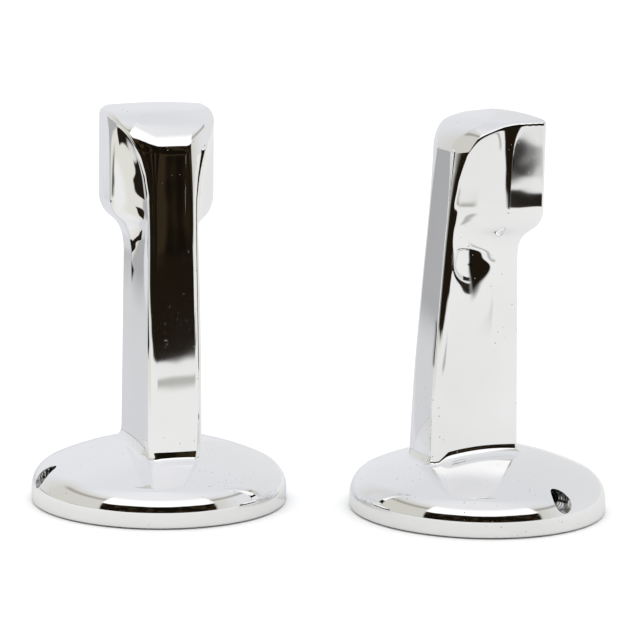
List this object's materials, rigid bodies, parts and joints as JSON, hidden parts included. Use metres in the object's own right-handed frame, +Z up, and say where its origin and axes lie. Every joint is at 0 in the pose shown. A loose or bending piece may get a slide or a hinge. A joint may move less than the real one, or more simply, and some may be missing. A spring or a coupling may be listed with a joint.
{
  "type": "pair of book ends",
  "caption": "Free-standing pair of polished chrome book ends, each a leaning post with a broad head on a round weighted flange held by a side set screw.",
  "frame": {"origin": "on the shelf, midway between the centres of the two round flanges", "axes": "+X from the left flange to the right one, +Z up, -Y towards the side the narrow fronts face before each end is turned"},
  "size_m": [0.2322, 0.1032, 0.1604],
  "materials": {
    "chrome_plate": "mirror polish with fine specks",
    "screw_steel": "black oxide",
    "plate_steel": "zinc plated",
    "weight_iron": "as cast, oiled",
    "felt": "dense wool felt"
  },
  "bodies": {
    "left_base": {"left_base_plate": "plate_steel", "left_base_weight": "weight_iron", "left_plate_screws": "screw_steel", "left_felt_pad": "felt"},
    "left_upper": {"left_post": "chrome_plate"},
    "left_lock": {"left_set_screw": "screw_steel"},
    "right_base": {"right_base_plate": "plate_steel", "right_base_weight": "weight_iron", "right_plate_screws": "screw_steel", "right_felt_pad": "felt"},
    "right_upper": {"right_post": "chrome_plate"},
    "right_lock": {"right_set_screw": "screw_steel"}
  },
  "joints": [
    {"name": "left_post_turn", "type": "hinge", "parent": "left_base", "child": "left_upper", "pos_m": [-0.0645, 0, 0.005], "axis": [0, 0, 1], "continuous": true},
    {"name": "left_screw_travel", "type": "slide", "parent": "left_upper", "child": "left_lock", "axis": [-0.9171, -0.3987, 0], "range_m": [0, 0.00423]},
    {"name": "right_end_slide", "type": "slide", "parent": "left_base", "child": "right_base", "axis": [1, 0, 0], "range_m": [-0.02, 0.3]},
    {"name": "right_post_turn", "type": "hinge", "parent": "right_base", "child": "right_upper", "pos_m": [0.0645, 0, 0.005], "axis": [0, 0, 1], "continuous": true},
    {"name": "right_screw_travel", "type": "slide", "parent": "right_upper", "child": "right_lock", "axis": [0.6691, -0.7431, 0], "range_m": [0, 0.00423]}
  ]
}
